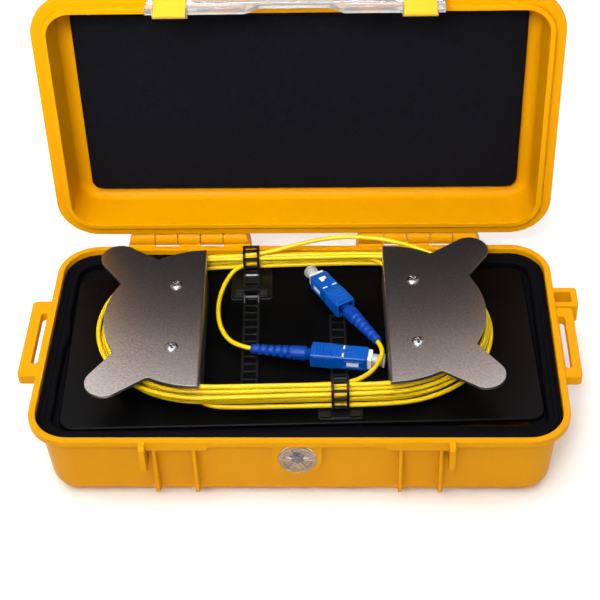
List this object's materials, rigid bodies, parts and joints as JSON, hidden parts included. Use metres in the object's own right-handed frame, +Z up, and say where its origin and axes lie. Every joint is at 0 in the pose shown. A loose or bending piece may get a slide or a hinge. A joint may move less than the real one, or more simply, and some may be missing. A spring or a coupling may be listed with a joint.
{
  "type": "fibre launch lead box",
  "caption": "Hinged orange case with a front latch, two bracket-and-core winding posts, a fibre reel under the deck and yellow leads ending in push-pull connectors.",
  "frame": {"origin": "centre of the base's flat underside", "axes": "+Z up, +X along the case to the strap-lug side, +Y to the hinges"},
  "size_m": [0.2424, 0.1544, 0.1761],
  "materials": {
    "case_orange": "glossy moulded polypropylene with a fine satin texture",
    "catch_orange": "satin moulded plastic",
    "steel": "bright stainless steel",
    "latch_clear": "clear polycarbonate",
    "valve_clear": "clear moulded plastic",
    "seal_rubber": "matt",
    "nut_plastic": "matt",
    "liner_rubber": "matt black",
    "deck_plastic": "satin black",
    "pad_foam": "fine black foam",
    "core_plastic": "matt black",
    "bracket_aluminium": "bead-blasted and anodised natural",
    "anchor_rubber": "matt black",
    "lead_jacket": "satin yellow jacket",
    "strap_plastic": "black nylon",
    "strap_adhesive": "grey foam tape",
    "reel_plastic": "natural moulded plastic",
    "fibre_glass": "wound coated fibre",
    "cradle_foam": "black foam",
    "connector_blue": "glossy blue",
    "boot_blue": "satin blue",
    "connector_white": "off-white",
    "ferrule_ceramic": "polished white ceramic",
    "cap_clear": "translucent"
  },
  "bodies": {
    "base": {"base_shell": "case_orange", "hinge_pin_left": "steel", "hinge_pin_right": "steel", "bracket_screws": "steel", "valve_cap": "valve_clear", "valve_seal": "seal_rubber", "valve_nut": "nut_plastic", "base_liner": "liner_rubber", "deck_plate": "deck_plastic", "winding_core_left": "core_plastic", "winding_core_right": "core_plastic", "winding_bracket_left": "bracket_aluminium", "winding_bracket_right": "bracket_aluminium", "lead_anchor_left": "anchor_rubber", "lead_anchor_right": "anchor_rubber", "lead_a_start": "lead_jacket", "lead_a_winding": "lead_jacket", "lead_a_tail": "lead_jacket", "lead_b_start": "lead_jacket", "lead_b_winding": "lead_jacket", "lead_b_tail": "lead_jacket", "cable_strap_rear": "strap_plastic", "cable_strap_front": "strap_plastic", "strap_base_rear": "strap_plastic", "strap_base_front": "strap_plastic", "strap_pad_rear": "strap_adhesive", "strap_pad_front": "strap_adhesive", "fibre_reel": "reel_plastic", "fibre_winding": "fibre_glass", "reel_cradle_left": "cradle_foam", "reel_cradle_right": "cradle_foam", "connector_a_boot": "boot_blue", "connector_a_body": "connector_white", "connector_a_ferrule": "ferrule_ceramic", "connector_a_dust_cap": "cap_clear", "connector_b_boot": "boot_blue", "connector_b_body": "connector_white", "connector_b_ferrule": "ferrule_ceramic", "connector_b_dust_cap": "cap_clear"},
    "lid": {"lid_shell": "case_orange", "lid_pad": "pad_foam", "latch_pins": "steel"},
    "latch": {"latch_body": "latch_clear", "catch_pins": "steel"},
    "catch_left": {"catch_left": "catch_orange"},
    "catch_right": {"catch_right": "catch_orange"},
    "grip_a": {"connector_a_grip": "connector_blue"},
    "grip_b": {"connector_b_grip": "connector_blue"}
  },
  "joints": [
    {"name": "lid_hinge", "type": "hinge", "parent": "base", "child": "lid", "pos_m": [0, 0.0653, 0.0434], "axis": [-1, 0, 0], "range_deg": [-92, 0]},
    {"name": "latch_hinge", "type": "hinge", "parent": "lid", "child": "latch", "pos_m": [0, 0.07781, 0.16954], "axis": [-1, 0, 0], "range_deg": [0, 100]},
    {"name": "catch_left_hinge", "type": "hinge", "parent": "latch", "child": "catch_left", "pos_m": [-0.0505, 0.05762, 0.17305], "axis": [-1, 0, 0], "range_deg": [0, 25]},
    {"name": "catch_right_hinge", "type": "hinge", "parent": "latch", "child": "catch_right", "pos_m": [0.0505, 0.05762, 0.17305], "axis": [-1, 0, 0], "range_deg": [0, 25]},
    {"name": "grip_a_slide", "type": "slide", "parent": "base", "child": "grip_a", "axis": [0.9914, -0.1305, 0], "range_m": [-0.0015, 0]},
    {"name": "grip_b_slide", "type": "slide", "parent": "base", "child": "grip_b", "axis": [-0.5219, 0.8516, -0.0489], "range_m": [-0.0015, 0]}
  ]
}
